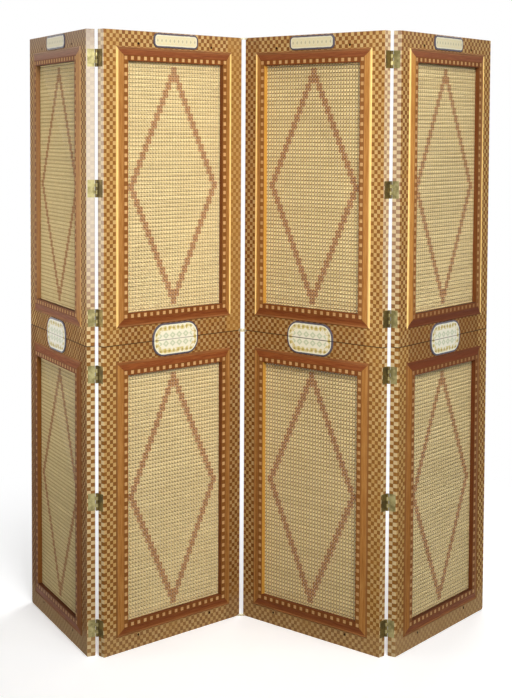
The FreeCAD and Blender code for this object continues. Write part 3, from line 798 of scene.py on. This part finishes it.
def weave_tree(name, hand):
    """Six-way cane: pairs of upright and level strands, and slanting ones both ways.

    A hand of -1 is the same weave seen in a mirror.
    """
    sizes = [(label, "Float") for label in WEAVE_SIZES]
    counts = [("Columns", "Int"), ("Rows", "Int")]
    tree = PieceTree(name, counts + sizes + [("Seed", "Int")] + PLACE_INPUTS)
    given = tree.given
    columns, rows = given["Columns"], given["Rows"]
    step_x, step_z = given["Pitch across"], given["Pitch up"]
    half_columns = tree.times(columns, 0.5)
    half_w = tree.times(half_columns, step_x)
    half_h = tree.times(tree.times(rows, 0.5), step_z)
    slant_h = tree.times(half_columns, step_z)

    def negative(value):
        return tree.times(value, -1.0)

    def strand(start, end, count):
        line = tree.out("GeometryNodeCurvePrimitiveLine", {"Start": start, "End": end})
        return tree.out("GeometryNodeResampleCurve", {"Curve": line, "Count": count})

    def section(wide, upright):
        ring = tree.out("GeometryNodeCurvePrimitiveCircle", {"Resolution": 4, "Radius": 0.5})
        thick = given["Strand thickness"]
        size = tree.join_xyz(wide, thick, 1.0) if upright else tree.join_xyz(thick, wide, 1.0)
        return tree.moved(ring, scale=size)

    def woven(strands, rise, profile, seed, tones):
        """Sets each point in front of or behind the sheet and gives the strands their section."""
        bent = tree.out("GeometryNodeSetPosition", {"Geometry": strands,
                                                    "Offset": tree.join_xyz(0.0, rise, 0.0)})
        pick = tree.add("FunctionNodeRandomValue", {2: tones[0], 3: tones[1],
                                                    "ID": tree.out("GeometryNodeInputIndex"),
                                                    "Seed": tree.total(given["Seed"], seed)})
        toned = tree.out("GeometryNodeStoreNamedAttribute", {"Geometry": bent, "Name": "strand_tone",
                                                             "Value": pick.outputs[1]},
                         data_type="FLOAT", domain="CURVE")
        return tree.out("GeometryNodeCurveToMesh", {"Curve": toned, "Profile Curve": profile,
                                                    "Fill Caps": True})

    x, y, z = tree.xyz(tree.out("GeometryNodeInputPosition"))
    column_at = tree.minus(tree.divided(x, step_x), half_columns)
    slant_over = parity(tree, tree.total(tree.times(column_at, 2.0), 1.0))
    slant_rise = tree.times(given["Slant rise"], slant_over)

    foot = tree.join_xyz(0.0, 0.0, negative(half_h))
    head = tree.join_xyz(0.0, 0.0, half_h)
    left = tree.join_xyz(negative(half_w))
    right = tree.join_xyz(half_w)
    one_up = tree.join_xyz(0.0, 0.0, step_z)
    upright = strand(foot, head, tree.total(rows, 1.0))
    off = given["Upright half"]
    pair = tree.joined(tree.moved(upright, tree.join_xyz(off)),
                       tree.moved(upright, tree.join_xyz(negative(off))))
    uprights = tree.along(tree.total(columns, 1.0), left, tree.join_xyz(step_x), pair)
    level = strand(left, right, tree.total(columns, 1.0))
    off = given["Level half"]
    pair = tree.joined(tree.moved(level, tree.join_xyz(0.0, 0.0, off)),
                       tree.moved(level, tree.join_xyz(0.0, 0.0, negative(off))))
    levels = tree.along(tree.total(rows, 1.0), foot, one_up, pair)
    parts = [woven(uprights, given["Rise"], section(given["Upright width"], True), 0, UPRIGHT_TONE),
             woven(levels, negative(given["Rise"]), section(given["Level width"], False), 1, LEVEL_TONE)]

    slants = tree.total(rows, columns)
    lowest = tree.times(tree.times(tree.minus(slants, 1.0), -0.5), step_z)
    past_edge = tree.above(tree.unsigned(z), tree.total(half_h, tree.times(step_z, 0.1)))
    for way, tones in SLANT_TONES.items():
        rise = tree.times(slant_h, hand * way)
        start = tree.join_xyz(negative(half_w), 0.0, rise)
        end = tree.join_xyz(half_w, 0.0, negative(rise))
        slant = strand(start, end, tree.total(tree.times(columns, 2.0), 1.0))
        lines = tree.along(slants, tree.join_xyz(0.0, 0.0, lowest), one_up, slant)
        kept = tree.out("GeometryNodeDeleteGeometry", {"Geometry": lines, "Selection": past_edge},
                        domain="POINT")
        profile = section(given["Slant width"], False)
        parts.append(woven(kept, tree.times(slant_rise, way), profile, 3.0 + way, tones))
    smooth = tree.out("GeometryNodeSetShadeSmooth", {"Geometry": tree.joined(*parts)})
    tree.finish(smooth)
    return tree


def inlay_tree():
    """A ring of low square tiles, laid on the corners of a grid's outline."""
    sizes = [(label, "Float") for label in ("Width", "Height", "Square", "Ease", "Thickness")]
    tree = PieceTree("inlay_squares", [("Across", "Int"), ("Up", "Int")] + sizes + PLACE_INPUTS)
    given = tree.given
    grid = tree.out("GeometryNodeMeshGrid", {"Size X": given["Width"], "Size Y": given["Height"],
                                             "Vertices X": given["Across"], "Vertices Y": given["Up"]})
    x, y, z = tree.xyz(tree.out("GeometryNodeInputPosition"))
    on_side = tree.above(tree.unsigned(x), tree.times(given["Width"], NEARLY_HALF))
    on_end = tree.above(tree.unsigned(y), tree.times(given["Height"], NEARLY_HALF))
    corner = tree.times(given["Square"], math.sqrt(0.5))
    eased = tree.times(tree.minus(given["Square"], given["Ease"]), math.sqrt(0.5))
    tile = tree.out("GeometryNodeMeshCone", {"Vertices": 4, "Radius Top": eased, "Radius Bottom": corner,
                                             "Depth": given["Thickness"]})
    tile = tree.moved(tile, turn=(0.0, 0.0, math.pi / 4))
    outline = tree.largest(on_side, on_end)
    tiles = tree.out("GeometryNodeInstanceOnPoints", {"Points": grid, "Instance": tile,
                                                      "Selection": outline})
    tiles = tree.out("GeometryNodeRealizeInstances", {"Geometry": tiles})
    tree.finish(tree.moved(tiles, turn=(math.pi / 2, 0.0, 0.0)))
    return tree


def leaf_spot(leaf, x, y, z):
    """A place given in the leaf's own millimetres, in metres of the whole screen."""
    corner, turn = LEAF_PLACE[leaf]
    around = Matrix.Rotation(math.radians(turn), 3, "Z")
    return around @ Vector((x, y, z)) * MM + Vector((corner[0], corner[1], 0.0))


def paint_node(name, material):
    node = frame["nodes"][name]
    node.data.materials.clear()
    node.data.materials.append(material)


weaves = {1.0: weave_tree("cane_weave", 1.0), -1.0: weave_tree("cane_weave_turned", -1.0)}
inlay = inlay_tree()
# hinges of the outer leaves in painted light, of the inner leaves in painted shade
golden_brass = aged_brass("golden_brass", BRASS_LIT)
dark_brass = aged_brass("dark_brass", BRASS_SHADED)
# the pivots' brass, lightened as painted light against their shade
pale_brass = aged_brass("pale_brass", BRASS_PIVOT_LIT)
for leaf in LEAF_PLACE:
    turn = math.radians(LEAF_PLACE[leaf][1])
    squares = chequered_wood(leaf)
    mould = moulding_wood(leaf)
    plain = plain_wood(leaf)
    straw = woven_cane(leaf)
    pale = inlay_wood(leaf)
    mid_glaze = glazed_plaque(leaf, MID_PLAQUE)
    paint_node("top_plaque_%d" % leaf, glazed_plaque(leaf, TOP_PLAQUE))
    paint_node("dowels_%d" % leaf, plain)
    for tier in TIERS:
        body = "%s_leaf_%d" % (tier, leaf)
        paint_node("%s_frame_%d" % (tier, leaf), squares)
        paint_node("%s_moulding_%d" % (tier, leaf), mould)
        paint_node("%s_bead_%d" % (tier, leaf), plain)
        paint_node("%s_plaque_%d" % (tier, leaf), mid_glaze)
        if leaf in INNER_LEAVES:
            paint_node("%s_hinges_%d" % (tier, leaf), dark_brass)
            paint_node("%s_pivots_%d" % (tier, leaf), pale_brass)
        else:
            paint_node("%s_hinges_%d" % (tier, leaf), golden_brass)

        values = {label: size * MM for label, size in WEAVE_SIZES.items()}
        values.update({"Columns": CANE_ACROSS + 2, "Rows": CANE_UP + 2,
                       "Seed": 10 * leaf + TIERS.index(tier),
                       "Place": leaf_spot(leaf, LEAF_W / 2, CANE_MID, OPENING_Z[tier]),
                       "Turn": turn, "Material": straw})
        cane = weaves[WEAVE_HAND[leaf]].make("%s_weave_%d" % (tier, leaf), values)
        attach(cane, body)
        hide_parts("%s_cane_%d" % (tier, leaf))

        low, high = MOULD_Z[tier]
        band = (BAND_IN + MOULD_W) / 2
        middle = leaf_spot(leaf, LEAF_W / 2, -MOULD_RISE + INLAY_DEEP, (low + high) / 2)
        tiles = inlay.make("%s_inlay_%d" % (tier, leaf),
                           {"Across": INLAY_ACROSS, "Up": INLAY_UP,
                            "Width": (LEAF_W - 2 * MOULD_OUT - 2 * band) * MM,
                            "Height": (high - low - 2 * band) * MM,
                            "Square": INLAY_SIZE * MM, "Ease": INLAY_EASE * MM,
                            "Thickness": (INLAY_DEEP + INLAY_PROUD) * MM,
                            "Place": middle, "Turn": turn, "Material": pale})
        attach(tiles, body)


# stage: floor in metres, its light for the object and as seen, and the sky
WHITE = (1.0, 1.0, 1.0, 1.0)
FLOOR_REACH = 30.0
FLOOR_NEAR = 0.9
FLOOR_FAR = 2.2
FLOOR_BOUNCE = 0.3
FLOOR_SEEN = 0.95
FLOOR_LIFT = 0.28
SKY_LIGHT = 0.3

# lamps: place, target, width and height in metres, watts, and spread in degrees
LAMPS = {"key": ((0.7, -2.9, 2.9), (-0.1, 0.0, 1.3), 1.6, 1.6, 29.5, 80.0),
         "front_fill": ((0.4, -2.6, 1.7), (0.0, 0.0, 1.45), 1.0, 1.0, 2.0, 60.0),
         "low_fill": ((0.5, -3.4, 0.45), (0.0, 0.0, 0.3), 1.4, 0.6, 1.9, 70.0),
         "inner_fill": ((-1.6, -3.2, 1.7), (0.16, 0.0, 1.35), 0.6, 0.6, 1.1, 60.0),
         "left_fill": ((-3.0, -0.6, 1.2), (-0.6, 0.0, 1.3), 0.5, 1.0, 4.8, 60.0),
         "right_fill": ((2.7, -1.8, 2.2), (0.0, 0.0, 0.9), 0.4, 1.8, 9.0, 180.0),
         "back_fill": ((1.0, 3.4, 3.2), (0.0, 0.0, 1.0), 2.0, 2.0, 85.0, 180.0)}

# camera: pixels of the photograph, sensor in millimetres, yaw, pitch and roll in degrees, metres
PHOTO_H = 698.0
FOCAL_PX = 1454.0
MIDDLE_PY = 220.0
SENSOR = 36.0
CAMERA_ANGLES = (0.40, 3.39, 0.285)
CAMERA_PLACE = (0.025, -4.349, 1.507)


def stage_floor():
    """White floor that keeps the shadow: lit near the screen, plain white far from it."""
    finish = Finish("studio_floor")
    x, y, z = finish.xyz(finish.place())
    near = finish.ease(finish.distance(x, y), FLOOR_NEAR, FLOOR_FAR, 1.0, 0.0)
    seen = finish.seen()
    grey = finish.times(near, finish.choose(seen, FLOOR_BOUNCE, FLOOR_SEEN))
    lift = finish.choose(near, 1.0, FLOOR_LIFT)
    finish.paint(Base_Color=finish.join_xyz(grey, grey, grey), Roughness=0.9, Specular_IOR_Level=0.0,
                 Emission_Color=WHITE, Emission_Strength=finish.times(seen, lift))
    mesh = bpy.data.meshes.new("studio_floor")
    r = FLOOR_REACH
    mesh.from_pydata([(-r, -r, 0), (r, -r, 0), (r, r, 0), (-r, r, 0)], [], [(0, 1, 2, 3)])
    mesh.materials.append(finish.material)
    floor = bpy.data.objects.new("studio_floor", mesh)
    bpy.context.scene.collection.objects.link(floor)


def studio_world():
    """White behind everything that the camera sees, a plain soft sky for the light."""
    world = bpy.data.worlds.new("studio")
    world.use_nodes = True
    nodes = Nodes(world.node_tree)
    strength = nodes.total(SKY_LIGHT, nodes.times(nodes.seen(), 1.0 - SKY_LIGHT))
    back = nodes.tree.nodes["Background"]
    nodes.feed(back.inputs["Color"], WHITE)
    nodes.feed(back.inputs["Strength"], strength)
    bpy.context.scene.world = world


def soft_box(name, place, target, width, height, power, spread):
    """A lamp of this width and height in metres, at place and aimed at target."""
    lamp = bpy.data.lights.new(name, "AREA")
    lamp.shape = "RECTANGLE"
    lamp.size = width
    lamp.size_y = height
    lamp.energy = power
    lamp.spread = math.radians(spread)
    box = bpy.data.objects.new(name, lamp)
    box.location = place
    box.rotation_euler = (Vector(target) - Vector(place)).to_track_quat("-Z", "Y").to_euler()
    bpy.context.scene.collection.objects.link(box)


def photo_camera():
    """Camera at the photograph's place: nearly level, its view moved down by a small shift."""
    yaw, pitch, roll = (math.radians(angle) for angle in CAMERA_ANGLES)
    ahead = Vector((-math.sin(yaw), math.cos(yaw), 0.0))
    right = Vector((math.cos(yaw), math.sin(yaw), 0.0))
    up = Vector((0.0, 0.0, 1.0))
    look = ahead * math.cos(pitch) - up * math.sin(pitch)
    over = ahead * math.sin(pitch) + up * math.cos(pitch)
    side = right * math.cos(roll) + over * math.sin(roll)
    over = over * math.cos(roll) - right * math.sin(roll)
    data = bpy.data.cameras.new("camera")
    data.sensor_fit = "AUTO"
    data.sensor_width = SENSOR
    data.lens = FOCAL_PX * SENSOR / PHOTO_H
    data.shift_y = (MIDDLE_PY - PHOTO_H / 2) / PHOTO_H
    camera = bpy.data.objects.new("camera", data)
    turn = Matrix((side, over, -look)).transposed().to_4x4()
    camera.matrix_world = Matrix.Translation(CAMERA_PLACE) @ turn
    bpy.context.scene.collection.objects.link(camera)
    bpy.context.scene.camera = camera


stage_floor()
studio_world()
for lamp_name, setting in LAMPS.items():
    soft_box(lamp_name, *setting)
photo_camera()

bpy.context.scene.view_settings.view_transform = "Standard"
